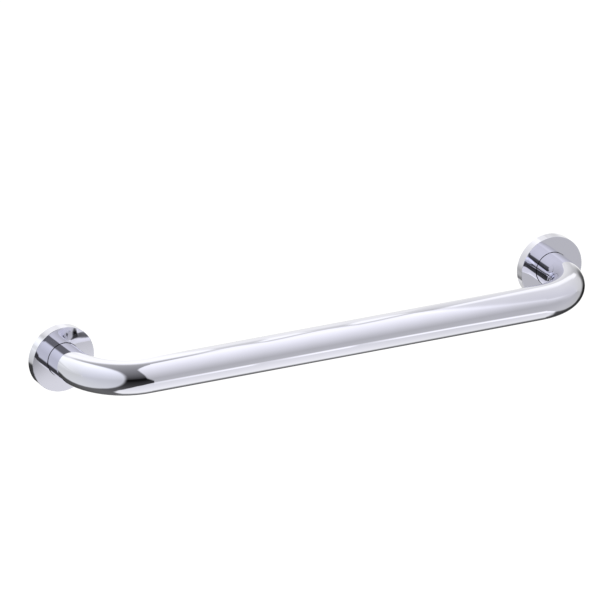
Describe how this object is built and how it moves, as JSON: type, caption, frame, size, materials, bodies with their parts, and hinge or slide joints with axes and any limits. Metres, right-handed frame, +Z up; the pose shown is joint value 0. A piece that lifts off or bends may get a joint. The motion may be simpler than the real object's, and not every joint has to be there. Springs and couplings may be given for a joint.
{
  "type": "grab bar",
  "caption": "Polished wall grab bar: a bent round tube whose two short legs pass through flat round covers onto posts on hidden wall plates.",
  "frame": {"origin": "on the wall, midway between the two legs, which is the centre of the four wall screw holes", "axes": "+X along the grip, -Y out from the wall towards the user, +Z up"},
  "size_m": [0.562, 0.092, 0.062],
  "materials": {
    "chrome_plate": "mirror polished",
    "plate_steel": "turned, bare",
    "screw_steel": "bare stainless",
    "bush_brass": "turned, bare",
    "seal_rubber": "moulded, matt"
  },
  "bodies": {
    "root": {"bar_tube": "chrome_plate", "left_cover": "chrome_plate", "left_wall_plate": "plate_steel", "left_wall_seal": "seal_rubber", "left_cover_ring": "seal_rubber", "left_post": "plate_steel", "left_post_screw": "screw_steel", "left_tube_bush": "bush_brass", "left_grub_screw": "screw_steel", "right_cover": "chrome_plate", "right_wall_plate": "plate_steel", "right_wall_seal": "seal_rubber", "right_cover_ring": "seal_rubber", "right_post": "plate_steel", "right_post_screw": "screw_steel", "right_tube_bush": "bush_brass", "right_grub_screw": "screw_steel"}
  },
  "joints": []
}
